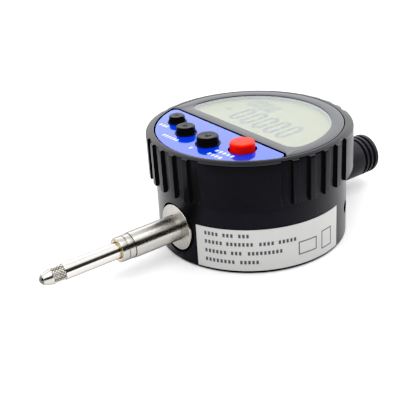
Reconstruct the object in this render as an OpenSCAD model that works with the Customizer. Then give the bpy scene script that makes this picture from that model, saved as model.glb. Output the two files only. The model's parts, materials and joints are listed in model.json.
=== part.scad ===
// Digital dial indicator with a turning display head, 12.7 mm travel and an 8 mm clamping stem.
// Millimetres. The flat back lies on z = 0 with the face upwards, -Y runs down the stem to the
// contact point, +Y to the spindle cap, and Z is the axis that the display head turns about.

/* [Housing] */
// Outer radius of the housing
housing_r = 30.2; // [29.8:0.1:30.6]
// Height of the housing, from the back to the turning head
housing_h = 22.2; // [22.0:0.1:22.4]
// Radius of the hollow inside the housing
cavity_r = 27.2; // [27:0.1:27.4]
// Height of the spindle's axis above the back
axis_z = 10.6; // [10.5:0.05:10.7]
// Radius of the data port's hole in the side wall
port_hole_r = 2.0; // [1.8:0.05:2.1]
// Height of the data port's centre above the back
port_z = 9.8; // [9.6:0.05:10]
// Direction of the data port, counted from +X towards +Y
port_angle = 37; // [34:1:42]

/* [Display head] */
// Outer radius of the bezel, over the grip's raised pads and ribs
bezel_r = 32.2; // [32.1:0.05:32.3]
// Height of the bezel's top face above the back
face_z = 36.5; // [36.4:0.1:36.8]
// Inner radius of the bezel, around the face plate
face_r = 29.5; // [29.4:0.05:29.6]
// Slope of the shoulder from the bezel's top face down to the grip
shoulder_angle = 20; // [18:1:24]
// Radius of the grip's floors between the ribs
floor_r = 31.45; // [31.2:0.05:31.6]
// Angle from one rib to the next in a group
rib_pitch = 10.05; // [10:0.05:10.2]
// Width of one grip floor, as an angle
floor_angle = 6.0; // [5.5:0.1:6.5]
// Where the face plate ends and the button panel starts, along Y
panel_y = -8.45; // [-8.6:0.05:-8.4]
// Open gap around the button panel
panel_gap = 0.4; // [0.1:0.05:0.5]
// Radius of the display window
window_r = 25.45; // [25.2:0.05:25.6]
// Lower straight edge of the display window, along Y
window_y = -4.4; // [-4.6:0.1:-4.2]

/* [Stem and spindle] */
// Radius of the clamping stem
stem_r = 4.0; // [3.97:0.01:4.0]
// Front end of the stem, along Y
stem_end = -51.2; // [-52:0.1:-50.5]
// Front face of the stem's flange, along Y
flange_y = -30.05; // [-30.1:0.05:-29.9]
// Radius of the stem's flange
flange_r = 7.35; // [7.3:0.05:7.5]
// Radius of the spindle
spindle_r = 2.48; // [2.45:0.01:2.5]
// Front end of the spindle, where the contact point starts
spindle_front = -69.2; // [-69.4:0.1:-69]
// Travel of the spindle
travel = 12.7; // [12:0.1:12.7]
// Running clearance of the spindle in its two bushes, on the radius
running = 0.04; // [0.02:0.01:0.08]

/* [Spindle cap] */
// Outer radius of the spindle cap
cap_r = 6.78; // [6.6:0.01:6.85]
// Rear end of the spindle cap, along Y
cap_end = 52.6; // [52:0.1:53]

/* [Battery] */
// Distance of the coin cell's centre from the head's axis, along X
cell_x = 13; // [12.8:0.1:13]
// Radius of the coin cell
cell_r = 10; // [9.9:0.1:10]

/* [Hidden] */
$fn = 96;

// A margin by which a cutting shape passes the face that it cuts
cut = 1;
// The gap left around pieces that are pressed or screwed into one another
snug = 0.02;

// Levels inside the housing
cover_t = 2.0;
ceiling_z = 19.6;
board_z = 17.0;
board_t = 1.2;

// The stem's parts: radii of its rings and grooves, and places along Y from its front end
stem_ring_r = stem_r - 0.2;
stem_groove_r = stem_r - 0.5;
stem_nose_end = stem_end + 2.2;
stem_ring_start = stem_end + 2.45;
stem_ring_end = stem_end + 4.35;
stem_clamp_start = stem_end + 4.55;
// The flange's chamfer
flange_edge = 0.2;
flange_back = -27.5;
front_boss_y = -21;
stem_back = -18.8;
stem_shank_r = 4.5;
stem_bush_r = 3.05;
stem_bore_r = 2.7;
stem_nose_edge = 0.3;
bush_length = 7;
nut_length = 2.2;
bumper_length = 2.2;

// The rear boss and the collar that the cap screws on to
rear_boss_y = 20;
cap_front = 29.35;
collar_end = 38;
collar_shank_r = 4.6;
collar_r = 5.0;
upper_bush_r = 3.5;
upper_bush_end = 31;

// The cap's rounded end, its end wall, and the places and size of its grip grooves
cap_edge = 0.7;
cap_wall = 1.5;
CAP_GROOVES = [cap_end - 6.45, cap_end - 4.45, cap_end - 2.45];
cap_groove_half = 0.4;
cap_groove_depth = 0.45;

// The clamp that carries the scale and the guide pin
clamp_front = -16.2;
clamp_back = -10;
clamp_low = 6.9;
clamp_high = 14;
pin_y = (clamp_front + clamp_back) / 2;
pin_r = 1.0;

// The turret that the head turns on, and the levels inside the head
turret_r = 24.0;
turret_bore_r = 9.0;
turret_z = 26.9;
ring_t = 1.0;
head_low = 22.4;
base_low = 22.7;
base_high = 26.6;
lcd_board_z = 29.8;
lcd_board_t = 1.2;
strip_low = 31;
lcd_low = 32.6;
lcd_high = 34.5;
lcd_frame_high = 34.9;
lens_low = 34.6;
plate_low = 34.95;
panel_z = 36.25;
lens_z = 36.3;
boot_h = 0.5;
// The foot that keeps each button in the head, and the switch under it
button_foot_low = 33.7;
button_foot_high = 34.6;
switch_z = 32.2;
switch_top = 32.7;

// Corners of the window and the panel, and the room around the panel that the face plate leaves
window_corner = 4;
panel_corner = 1.9;
panel_room_corner = 2.2;
panel_room_r = face_r + 0.2;
panel_room_y = panel_y + 0.35;
plate_tip_y = panel_y - 0.95;

// The label's thickness, lower edge, height, and the directions that it runs between
label_t = 0.1;
label_low = 1.0;
label_h = 13.7;
label_start = -72.5;
label_angle = 91.5;
// Radius of the blend from the bezel's top face to its shoulder, and of the shoulder's outer edge
shoulder_blend = 3.6;
shoulder_edge = 0.35;

// The stop pin's path: 270 degrees, from a quarter turn one way to half a turn the other
stop_path_r = 28.2;
stop_pin_r = 0.7;
stop_home = 90;
head_turn_low = -90;
head_turn_high = 180;

// The friction ring between the housing and the head
friction_path_r = 26.5;
friction_wire_r = 0.55;

// Each button: centre x and y, radius, radius of its boot or well, and height of its top
BUTTONS = [
    [-17.35, -15.0, 2.55, 3.10, 38.5],
    [-7.6, -18.6, 2.95, 3.50, 38.7],
    [3.9, -18.9, 3.33, 3.85, 38.9],
    [14.6, -14.4, 3.72, 4.25, 38.75]
];
LEFT = 0;
MIDDLE = 1;
RIGHT = 2;
RED = 3;

// Circles and directions of the four sets of screws
cover_screw_r = 24.5;
board_screw_r = 21;
ring_screw_r = 17;
head_screw_r = 27.6;
COVER_SCREW_ANGLES = [70, -60, 140, 220];
BOARD_SCREW_ANGLES = [-20, 125, 235];
RING_SCREW_ANGLES = [30, 150, 270];
HEAD_SCREW_ANGLES = [45, 135, 225, 315];

// ---- helpers ----

function arc(c, r, from, to, steps) =
    [for (i = [0:steps]) c + r * [cos(from + (to - from) * i / steps), sin(from + (to - from) * i / steps)]];

// Outline of a disc cut off below a chord, with its two corners rounded
function cut_disc(r, chord_y, corner) =
    let (
        cy = chord_y + corner,
        cx = sqrt(pow(r - corner, 2) - pow(cy, 2)),
        a = atan2(cy, cx)
    )
    concat(
        arc([0, 0], r, a, 180 - a, 60),
        arc([-cx, cy], corner, 180 - a, 270, 8),
        arc([cx, cy], corner, -90, a, 8)
    );

module cut_disc_plate(r, chord_y, corner, low, high) {
    translate([0, 0, low])
        linear_extrude(high - low)
            polygon(cut_disc(r, chord_y, corner));
}

// The same outline on the other side of the chord
module panel_plate(r, chord_y, corner, low, high) {
    mirror([0, 1, 0])
        cut_disc_plate(r, -chord_y, corner, low, high);
}

// A box given by its lowest and highest corners
module block(low, high) {
    translate(low)
        cube(high - low);
}

// A disc or rod along Z between two heights
module disc(r, low, high) {
    translate([0, 0, low])
        cylinder(h = high - low, r = r);
}

module ring(outer, inner, low, high) {
    difference() {
        disc(outer, low, high);
        disc(inner, low - cut, high + cut);
    }
}

// A rod on the spindle's axis between two places along Y, which may taper
module rod(r1, from, to, r2 = undef) {
    translate([0, from, axis_z])
        rotate([-90, 0, 0])
            cylinder(h = to - from, r1 = r1, r2 = is_undef(r2) ? r1 : r2);
}

// Copies of a piece around the Z axis
module around(radius, angles) {
    for (a = angles)
        rotate([0, 0, a])
            translate([radius, 0, 0])
                children();
}

// A small screw standing on Z, its head below its shank, with a cross in the head
module screw(head_r, head_low, head_high, shank_r, shank_high) {
    difference() {
        union() {
            disc(head_r, head_low, head_high);
            disc(shank_r, head_high, shank_high);
        }
        for (a = [0, 90])
            rotate([0, 0, a])
                block([-head_r * 0.7, -0.2, head_low - cut], [head_r * 0.7, 0.2, head_low + 0.45]);
    }
}

// ---- housing and what is fixed in it ----

module housing() {
    color([0.10, 0.10, 0.11])
    difference() {
        union() {
            rotate_extrude()
                polygon([
                    [cavity_r + 0.3, 0], [housing_r - 0.5, 0], [housing_r, 0.5], [housing_r, housing_h - 0.3],
                    [housing_r - 0.3, housing_h], [turret_r, housing_h], [turret_r, turret_z],
                    [turret_bore_r, turret_z], [turret_bore_r, ceiling_z], [cavity_r, ceiling_z],
                    [cavity_r, cover_t], [cavity_r + 0.3, cover_t]
                ]);
            // Front boss around the stem and rear boss around the cap's collar
            intersection() {
                disc(cavity_r + 0.5, cover_t, ceiling_z);
                union() {
                    block([-10, -housing_r, cover_t], [10, front_boss_y, ceiling_z]);
                    block([-6.4, rear_boss_y, 3], [13, housing_r, 16.6]);
                }
            }
            // Pillars for the cover's screws and posts for the board
            intersection() {
                disc(cavity_r + 0.5, cover_t, ceiling_z);
                around(cover_screw_r, COVER_SCREW_ANGLES)
                    disc(2.9, cover_t, 12);
            }
            around(board_screw_r, BOARD_SCREW_ANGLES)
                disc(2, board_z + board_t, ceiling_z + 0.5);
        }
        // Seat and bore of the stem
        rod(flange_r + 0.55, -housing_r - cut, flange_back);
        rod(stem_shank_r + snug, -housing_r, front_boss_y + cut);
        // Seat and bore of the cap's collar
        rod(cap_r + 0.3, cap_front - 0.05, housing_r + cut);
        rod(collar_shank_r + snug, rear_boss_y - cut, housing_r + cut);
        // Data port
        rotate([0, 0, port_angle])
            translate([cavity_r - 1.5, 0, port_z])
                rotate([0, 90, 0])
                    cylinder(h = 6, r = port_hole_r);
        // Groove for the friction ring, and the stop pin's groove
        ring(friction_path_r + 0.6, friction_path_r - 0.6, housing_h - 0.7, housing_h + cut);
        stop_groove();
        // Screw holes
        around(cover_screw_r, COVER_SCREW_ANGLES)
            disc(0.92, cover_t - cut, 8);
        around(board_screw_r, BOARD_SCREW_ANGLES)
            disc(0.82, board_z, 21.5);
        around(ring_screw_r, RING_SCREW_ANGLES)
            disc(0.92, 22, turret_z + cut);
    }
}

module stop_groove() {
    margin = (stop_pin_r + 0.1) / stop_path_r * 180 / PI;
    rotate([0, 0, stop_home + head_turn_low - margin])
        rotate_extrude(angle = head_turn_high - head_turn_low + 2 * margin)
            translate([stop_path_r - 0.9, housing_h - 1.1])
                square([1.8, 2]);
}

// Bayonet door of the coin cell, and the opening that it leaves in the cover
door_r = 11.4;
door_hub_r = 10.2;
door_lip_z = 1.0;
door_tab_r = 11.2;
door_tab_angle = 24;
door_turn = 60;

module door_tabs(r, angle, low, high) {
    for (side = [0, 180])
        rotate([0, 0, side - angle / 2])
            rotate_extrude(angle = angle)
                translate([8, low])
                    square([r - 8, high - low]);
}

module back_cover() {
    color([0.13, 0.13, 0.14])
    difference() {
        disc(cavity_r + 0.25, 0, cover_t);
        translate([cell_x, 0, 0]) {
            disc(door_r + 0.1, -cut, door_lip_z);
            disc(door_hub_r + 0.2, -cut, cover_t + cut);
            rotate([0, 0, 90 - door_turn])
                door_tabs(door_tab_r + 0.1, door_tab_angle + 4, door_lip_z - 0.2, cover_t + cut);
        }
        around(cover_screw_r, COVER_SCREW_ANGLES) {
            disc(0.95, -cut, cover_t + cut);
            disc(1.8, -cut, 1.15);
        }
    }
}

module back_cover_screws() {
    color([0.55, 0.55, 0.57])
        around(cover_screw_r, COVER_SCREW_ANGLES)
            screw(1.7, 0.15, 1.15, 0.9, 7);
}

module battery_door() {
    color([0.16, 0.16, 0.17])
    translate([cell_x, 0, 0])
    difference() {
        union() {
            disc(door_r, 0, door_lip_z - 0.05);
            disc(door_hub_r, 0, 2.7);
            rotate([0, 0, 90])
                door_tabs(door_tab_r, door_tab_angle, 2.1, 2.7);
        }
        // Coin slot
        block([-6.5, -0.9, -cut], [6.5, 0.9, 0.7]);
    }
}

module battery() {
    color([0.80, 0.80, 0.80])
    translate([cell_x, 0, 0]) {
        disc(cell_r - 0.6, 2.8, 3.1);
        disc(cell_r, 3.1, 6.0);
    }
}

module battery_holder() {
    color([0.20, 0.20, 0.21])
    difference() {
        translate([cell_x, 0, 0])
        difference() {
            disc(13, cover_t, 6);
            disc(door_r + 0.3, cover_t - cut, 2.8);
            disc(cell_r + 0.2, cover_t - cut, 6 + cut);
        }
        // Slot for the contact on the cell's rim
        block([12.4, -13.5, 2.9], [15.8, -9, 6 + cut]);
    }
}

module battery_contacts() {
    color([0.80, 0.75, 0.55]) {
        // Leaf on the cell's flat side, and the strip up to the board
        union() {
            block([cell_x - 4, -1.5, 6.0], [22, 1.5, 6.3]);
            block([21.7, -1.5, 6.0], [22, 1.5, board_z]);
        }
        // Strip on the cell's rim
        block([12.6, -10.32, 3.2], [15.6, -10.02, board_z]);
    }
}

module rating_label() {
    color([0.80, 0.81, 0.82])
    rotate([0, 0, label_start])
        rotate_extrude(angle = label_angle)
            translate([housing_r, label_low])
                square([label_t, label_h]);
}

module stem() {
    color([0.72, 0.71, 0.69])
    difference() {
        union() {
            rod(stem_ring_r - stem_nose_edge, stem_end, stem_end + stem_nose_edge, stem_ring_r);
            rod(stem_ring_r, stem_end + stem_nose_edge, stem_nose_end);
            rod(stem_groove_r, stem_nose_end, stem_ring_start);
            rod(stem_ring_r, stem_ring_start, stem_ring_end);
            rod(stem_groove_r, stem_ring_end, stem_clamp_start);
            rod(stem_r, stem_clamp_start, flange_y);
            rod(flange_r - flange_edge, flange_y, flange_y + flange_edge, flange_r);
            rod(flange_r, flange_y + flange_edge, flange_back);
            rod(stem_shank_r, flange_back, stem_back);
        }
        rod(stem_bush_r + snug, stem_end - cut, stem_end + bush_length);
        rod(stem_bore_r, stem_end, stem_back + cut);
    }
}

module stem_nut() {
    color([0.65, 0.65, 0.66])
    difference() {
        translate([0, front_boss_y, axis_z])
            rotate([-90, 0, 0])
                cylinder(h = nut_length, r = 6.4, $fn = 6);
        rod(stem_shank_r + snug, front_boss_y - cut, front_boss_y + nut_length + cut);
    }
}

module lower_bush() {
    color([0.80, 0.63, 0.32])
    difference() {
        rod(stem_bush_r, stem_end - 0.05, stem_end + bush_length);
        rod(spindle_r + running, stem_end - cut, stem_end + bush_length + cut);
        rod(spindle_r + running + 0.35, stem_end - 0.06, stem_end + 0.3, spindle_r + running);
    }
}

module upper_bush() {
    color([0.80, 0.63, 0.32])
    difference() {
        rod(upper_bush_r, rear_boss_y, upper_bush_end);
        rod(spindle_r + running, rear_boss_y - cut, upper_bush_end + cut);
    }
}

module bumper_washer() {
    color([0.12, 0.12, 0.12])
    difference() {
        rod(5, stem_back, stem_back + bumper_length);
        rod(stem_bore_r, stem_back - cut, stem_back + bumper_length + cut);
    }
}

module cap_collar() {
    color([0.62, 0.62, 0.63])
    difference() {
        union() {
            rod(collar_shank_r, rear_boss_y, cap_front);
            rod(collar_r, cap_front - 0.05, collar_end);
        }
        rod(upper_bush_r + snug, rear_boss_y - cut, collar_end + cut);
    }
}

module spindle_cap() {
    color([0.07, 0.07, 0.08])
    difference() {
        union() {
            rod(cap_r, cap_front, cap_end - cap_edge);
            rod(cap_r, cap_end - cap_edge, cap_end, cap_r - cap_edge);
        }
        rod(collar_r + 0.05, cap_front - cut, cap_end - cap_wall);
        for (y = CAP_GROOVES)
            difference() {
                rod(cap_r + cut, y - cap_groove_half, y + cap_groove_half);
                rod(cap_r - cap_groove_depth, y - cut, y + cut);
            }
    }
}

module data_port() {
    color([0.16, 0.16, 0.17])
    rotate([0, 0, port_angle])
        translate([0, 0, port_z])
            rotate([0, 90, 0])
                union() {
                    difference() {
                        union() {
                            disc(port_hole_r - snug, 24, 27.6);
                            disc(3.2, 24, 26.6);
                        }
                        disc(port_hole_r - 0.5, 25, 27.6 + cut);
                    }
                    disc(0.45, 24.5, 27);
                }
}

// ---- electronics in the housing ----

module main_pcb() {
    color([0.08, 0.32, 0.16])
    difference() {
        intersection() {
            disc(25.5, board_z, board_z + board_t);
            block([-26, -20.6, board_z - cut], [26, 26, board_z + board_t + cut]);
        }
        around(board_screw_r, BOARD_SCREW_ANGLES)
            disc(0.85, board_z - cut, board_z + board_t + cut);
    }
}

module board_components() {
    color([0.10, 0.10, 0.10]) {
        // Processor, capacitor and crystal under the board, and the flex connector on top
        block([-22, -5, board_z - 1.3], [-15, 5, board_z]);
        block([3, 9, board_z - 1.8], [6, 14, board_z]);
        block([2.5, -9, board_z - 1.2], [5.5, -3, board_z]);
        block([-4, -1.5, board_z + board_t], [4, 1.5, 19.8]);
    }
}

module pcb_screws() {
    color([0.60, 0.60, 0.62])
        around(board_screw_r, BOARD_SCREW_ANGLES)
            screw(1.6, board_z - 0.9, board_z, 0.8, 20.5);
}

module encoder_reader() {
    color([0.09, 0.09, 0.22])
        block([-13, -8, 14.7], [-7, 2, board_z]);
}

// ---- the turret's fittings ----

module retaining_ring() {
    color([0.68, 0.68, 0.70])
    difference() {
        ring(25.9, turret_bore_r, turret_z, turret_z + ring_t);
        around(ring_screw_r, RING_SCREW_ANGLES)
            disc(0.95, turret_z - cut, turret_z + ring_t + cut);
    }
}

module retaining_screws() {
    color([0.55, 0.55, 0.57])
        around(ring_screw_r, RING_SCREW_ANGLES)
            mirror([0, 0, 1])
                screw(1.7, -(turret_z + ring_t + 0.9), -(turret_z + ring_t), 0.9, -23);
}

module friction_ring() {
    color([0.09, 0.09, 0.09])
    rotate_extrude()
        translate([friction_path_r, housing_h - 0.1])
            circle(r = friction_wire_r, $fn = 24);
}

// ---- the spindle's guide and spring ----

module guide_rail() {
    color([0.50, 0.50, 0.52])
    difference() {
        block([8, clamp_front, 6.8], [12, rear_boss_y, clamp_high]);
        block([8 - cut, pin_y - pin_r - 0.5, axis_z - pin_r - running],
              [11.8, pin_y + travel + pin_r + 0.5, axis_z + pin_r + running]);
    }
}

spring_r = 3.3;
spring_wire_r = 0.25;
spring_turns = 12;

// A coil spring as one tube swept along a helix about the spindle's axis
module return_spring() {
    sides = 6;
    rings = spring_turns * 16;
    from = clamp_back + spring_wire_r + 0.05;
    to = rear_boss_y - spring_wire_r - 0.05;
    points = [
        for (i = [0:rings]) let (a = 360 * spring_turns * i / rings, y = from + (to - from) * i / rings)
            for (k = [0:sides - 1]) let (b = 360 * k / sides, r = spring_r + spring_wire_r * cos(b))
                [r * cos(a), y + spring_wire_r * sin(b), axis_z + r * sin(a)]
    ];
    walls = [
        for (i = [0:rings - 1])
            for (k = [0:sides - 1])
                let (a = i * sides + k, b = i * sides + (k + 1) % sides)
                    [a, a + sides, b + sides, b]
    ];
    first = [for (k = [0:sides - 1]) k];
    last = [for (k = [sides - 1:-1:0]) rings * sides + k];
    color([0.60, 0.61, 0.62])
        polyhedron(points = points, faces = concat([first, last], walls), convexity = 20);
}

module spindle() {
    color([0.74, 0.73, 0.71])
    difference() {
        rod(spindle_r, spindle_front, 31.5);
        rod(1.27, spindle_front - cut, spindle_front + 6);
    }
}

// The contact point's knurl, cone and ball, along Y
knurl_r = 2.45;
knurl_front = spindle_front - 3.9;
cone_front = spindle_front - 6.6;
ball_r = 1.4;
ball_y = cone_front + 0.6;

module contact_point() {
    color([0.66, 0.65, 0.63])
    difference() {
        union() {
            rod(1.25, spindle_front, spindle_front + 5.5);
            rod(knurl_r, knurl_front, spindle_front);
            rod(1.6, cone_front, knurl_front, knurl_r - 0.1);
        }
        translate([0, ball_y, axis_z])
            sphere(r = ball_r + 0.01);
    }
}

module contact_ball() {
    color([0.20, 0.20, 0.21])
        translate([0, ball_y, axis_z])
            sphere(r = ball_r);
}

module spindle_clamp() {
    color([0.58, 0.58, 0.60])
    difference() {
        block([-7, clamp_front, clamp_low], [6, clamp_back, clamp_high]);
        rod(spindle_r + snug, clamp_front - cut, clamp_back + cut);
        translate([3.5, pin_y, axis_z])
            rotate([0, 90, 0])
                cylinder(h = 4, r = pin_r + snug);
        translate([-4.6, pin_y, 0])
            disc(0.82, 8, clamp_high + cut);
    }
}

module clamp_screw() {
    color([0.50, 0.50, 0.52])
    translate([-4.6, pin_y, 0])
        mirror([0, 0, 1])
            screw(1.5, -(clamp_high + 1), -clamp_high, 0.8, -8.2);
}

module guide_pin() {
    color([0.75, 0.75, 0.76])
    translate([3.5, pin_y, axis_z])
        rotate([0, 90, 0])
            cylinder(h = 8, r = pin_r);
}

module scale_carrier() {
    color([0.62, 0.63, 0.64])
        block([-13, clamp_front, 11.5], [-7, clamp_front + 24, 13]);
}

module encoder_scale() {
    color([0.55, 0.70, 0.62, 0.8])
        block([-12.6, clamp_front + 0.4, 13], [-7.6, clamp_front + 23.6, 14.2]);
}

// ---- the display head ----

module bezel() {
    corner = 0.15;
    blend_end = [face_r + shoulder_blend * sin(shoulder_angle),
                 face_z - shoulder_blend * (1 - cos(shoulder_angle))];
    edge_x = bezel_r - shoulder_edge;
    edge_start_x = edge_x + shoulder_edge * sin(shoulder_angle);
    edge_start_z = blend_end[1] - (edge_start_x - blend_end[0]) * tan(shoulder_angle);
    edge_z = edge_start_z - shoulder_edge * cos(shoulder_angle);
    color([0.17, 0.17, 0.18])
    difference() {
        rotate_extrude()
            polygon(concat(
                [[face_r, head_low], [bezel_r - corner, head_low], [bezel_r, head_low + corner]],
                arc([edge_x, edge_z], shoulder_edge, 0, 90 - shoulder_angle, 4),
                arc([face_r, face_z - shoulder_blend], shoulder_blend, 90 - shoulder_angle, 90, 4)
            ));
        // Grip floors: four groups of five, centred on the X and Y axes, running out at the shoulder
        for (group = [0:3])
            for (k = [-2:2])
                rotate([0, 0, 90 * group + rib_pitch * k - floor_angle / 2])
                    rotate_extrude(angle = floor_angle)
                        translate([floor_r, head_low - cut])
                            square([3, face_z - head_low + 2 * cut]);
    }
}

module head_base() {
    color([0.60, 0.60, 0.62])
    difference() {
        ring(face_r - snug, turret_r + 0.06, base_low, base_high);
        around(head_screw_r, HEAD_SCREW_ANGLES) {
            disc(0.82, base_low - cut, base_high + cut);
            disc(1.3, base_low - cut, base_low + 1);
        }
        rotate([0, 0, stop_home])
            translate([stop_path_r, 0, 0])
                disc(stop_pin_r, base_low - cut, base_low + 2);
    }
}

module head_screws() {
    color([0.50, 0.50, 0.52])
        around(head_screw_r, HEAD_SCREW_ANGLES)
            screw(1.2, base_low + 0.05, base_low + 1, 0.8, 30);
}

module stop_pin() {
    color([0.75, 0.75, 0.76])
    rotate([0, 0, stop_home])
        translate([stop_path_r, 0, 0])
            disc(stop_pin_r - snug, housing_h - 1.0, base_low + 1.9);
}

module display_chassis() {
    color([0.12, 0.12, 0.13])
    difference() {
        disc(face_r - 0.05, base_high, plate_low);
        disc(26.3, base_high - cut, plate_low);
        disc(27.5, lcd_board_z, plate_low + cut);
        around(head_screw_r, HEAD_SCREW_ANGLES)
            disc(0.82, base_high - cut, 30.2);
    }
}

module display_pcb() {
    color([0.07, 0.28, 0.15])
        difference() {
            disc(27.4, lcd_board_z, lcd_board_z + lcd_board_t);
            around(head_screw_r, HEAD_SCREW_ANGLES)
                disc(1.0, lcd_board_z - cut, lcd_board_z + lcd_board_t + cut);
        }
}

module button_switches() {
    color([0.75, 0.75, 0.73])
        for (b = BUTTONS)
            translate([b[0], b[1], 0]) {
                block([-1.9, -1.9, strip_low], [1.9, 1.9, switch_z]);
                disc(1, switch_z, switch_top);
            }
}

module zebra_strips() {
    color([0.35, 0.35, 0.37])
        for (y = [-4.6, 19.2])
            block([-14, y, strip_low], [14, y + 1.6, lcd_low]);
}

module lcd_module() {
    color([0.72, 0.75, 0.64])
        cut_disc_plate(26.5, -5.6, 3, lcd_low, lcd_high);
}

module lcd_frame() {
    color([0.16, 0.16, 0.17])
    difference() {
        cut_disc_plate(27.3, -6.8, 3, strip_low, lcd_frame_high);
        cut_disc_plate(26.6, -5.7, 3, strip_low - cut, lcd_frame_high + cut);
    }
}

module lcd_lens() {
    color([0.80, 0.86, 0.90, 0.35])
        cut_disc_plate(window_r - 0.05, window_y + 0.05, window_corner, lens_low, lens_z);
}

module face_plate() {
    color([0.30, 0.30, 0.32])
    difference() {
        intersection() {
            disc(face_r - 0.05, plate_low, face_z);
            block([-face_r, plate_tip_y, plate_low - cut], [face_r, face_r, face_z + cut]);
        }
        // Room for the panel, following its rounded corners
        panel_plate(panel_room_r, panel_room_y, panel_room_corner, plate_low - cut, face_z + cut);
        cut_disc_plate(window_r, window_y, window_corner, plate_low - cut, face_z + cut);
    }
}

function button_hole_r(b, i) = i == RED ? b[3] : b[2] + 0.35;

module button_panel() {
    color([0.36, 0.48, 0.95])
    difference() {
        panel_plate(face_r - panel_gap, panel_y, panel_corner, plate_low, panel_z);
        for (i = [LEFT:RED])
            translate([BUTTONS[i][0], BUTTONS[i][1], 0])
                disc(button_hole_r(BUTTONS[i], i), plate_low - cut, panel_z + cut);
    }
}

// Rubber boots around the three black buttons
module button_boots() {
    color([0.08, 0.08, 0.08])
        for (i = [LEFT:RIGHT])
            let (b = BUTTONS[i])
                translate([b[0], b[1], 0])
                    difference() {
                        union() {
                            disc(button_hole_r(b, i) - snug, plate_low, panel_z);
                            translate([0, 0, panel_z])
                                cylinder(h = boot_h, r1 = b[3], r2 = b[2] + 0.25);
                        }
                        disc(b[2] + 0.06, plate_low - cut, panel_z + 2);
                    }
}

module button(i) {
    b = BUTTONS[i];
    edge = 0.35;
    translate([b[0], b[1], 0]) {
        disc(i == RED ? b[3] + 0.4 : b[2] + 0.7, button_foot_low, button_foot_high);
        disc(b[2], button_foot_low, b[4] - edge);
        translate([0, 0, b[4] - edge])
            cylinder(h = edge, r1 = b[2], r2 = b[2] - edge);
    }
}

module button_left() {
    color([0.07, 0.07, 0.07]) button(LEFT);
}

module button_middle() {
    color([0.07, 0.07, 0.07]) button(MIDDLE);
}

module button_right() {
    color([0.07, 0.07, 0.07]) button(RIGHT);
}

module button_red() {
    color([0.90, 0.20, 0.10]) button(RED);
}

// Flat cable wound like a clock spring in the turret's bore, so that the head can turn
module flex_cable() {
    inner = 3.0;
    outer = 7.6;
    turns = 2;
    steps = 72;
    half = 0.12;
    spiral = function (i, off)
        let (a = 360 * turns * i / steps, r = inner + (outer - inner) * i / steps + off)
            [r * cos(a), r * sin(a)];
    color([0.72, 0.46, 0.12])
    union() {
        block([-3.1, -0.12, 20.1], [3.1, 0.12, lcd_board_z]);
        translate([0, 0, 21])
            linear_extrude(4)
                polygon(concat(
                    [for (i = [0:steps]) spiral(i, -half)],
                    [for (i = [steps:-1:0]) spiral(i, half)]
                ));
    }
}

housing();
back_cover();
back_cover_screws();
rating_label();
stem();
stem_nut();
lower_bush();
upper_bush();
bumper_washer();
cap_collar();
spindle_cap();
data_port();
battery();
battery_holder();
battery_door();
battery_contacts();
main_pcb();
board_components();
pcb_screws();
encoder_reader();
retaining_ring();
retaining_screws();
friction_ring();
guide_rail();
return_spring();
spindle();
contact_point();
contact_ball();
spindle_clamp();
clamp_screw();
guide_pin();
scale_carrier();
encoder_scale();
bezel();
head_base();
head_screws();
stop_pin();
display_chassis();
display_pcb();
button_switches();
zebra_strips();
lcd_module();
lcd_frame();
lcd_lens();
face_plate();
button_panel();
button_boots();
button_left();
button_middle();
button_right();
button_red();
flex_cable();
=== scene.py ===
"""Looks of the digital dial indicator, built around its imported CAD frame.

Lengths in this script are millimetres, turned into metres where a mesh is made. The floor and the
lights are placed in metres.
"""
import json
import math

import bmesh
import bpy
from mathutils import Matrix, Vector


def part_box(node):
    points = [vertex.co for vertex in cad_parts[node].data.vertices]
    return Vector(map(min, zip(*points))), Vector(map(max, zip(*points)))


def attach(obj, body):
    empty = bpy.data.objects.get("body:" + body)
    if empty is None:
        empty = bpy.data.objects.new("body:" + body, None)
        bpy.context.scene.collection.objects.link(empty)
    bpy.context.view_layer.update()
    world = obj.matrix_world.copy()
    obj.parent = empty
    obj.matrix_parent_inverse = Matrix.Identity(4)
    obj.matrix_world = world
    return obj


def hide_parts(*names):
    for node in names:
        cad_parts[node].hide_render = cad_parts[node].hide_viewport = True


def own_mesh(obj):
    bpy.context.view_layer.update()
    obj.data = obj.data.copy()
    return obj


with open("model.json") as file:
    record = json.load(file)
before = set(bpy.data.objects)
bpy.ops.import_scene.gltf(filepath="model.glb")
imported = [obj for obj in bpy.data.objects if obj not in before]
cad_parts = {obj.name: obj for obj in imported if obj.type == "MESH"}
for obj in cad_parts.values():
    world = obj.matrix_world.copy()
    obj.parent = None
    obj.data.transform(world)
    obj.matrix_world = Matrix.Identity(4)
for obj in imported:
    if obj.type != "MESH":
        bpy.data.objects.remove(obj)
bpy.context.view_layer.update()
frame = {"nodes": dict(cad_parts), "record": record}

MM = 0.001
STEPS = 192


# ---- sizes read from the frame ----

def box_mm(node):
    """A CAD node's lowest and highest corners, in millimetres."""
    low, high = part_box(node)
    return Vector(low) / MM, Vector(high) / MM


def middle(node):
    low, high = box_mm(node)
    return (low + high) / 2


AXIS_Z = middle("spindle").z
HOUSING_R = box_mm("housing")[1].x
GRIP_FLOOR_HALF = 3.0
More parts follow.
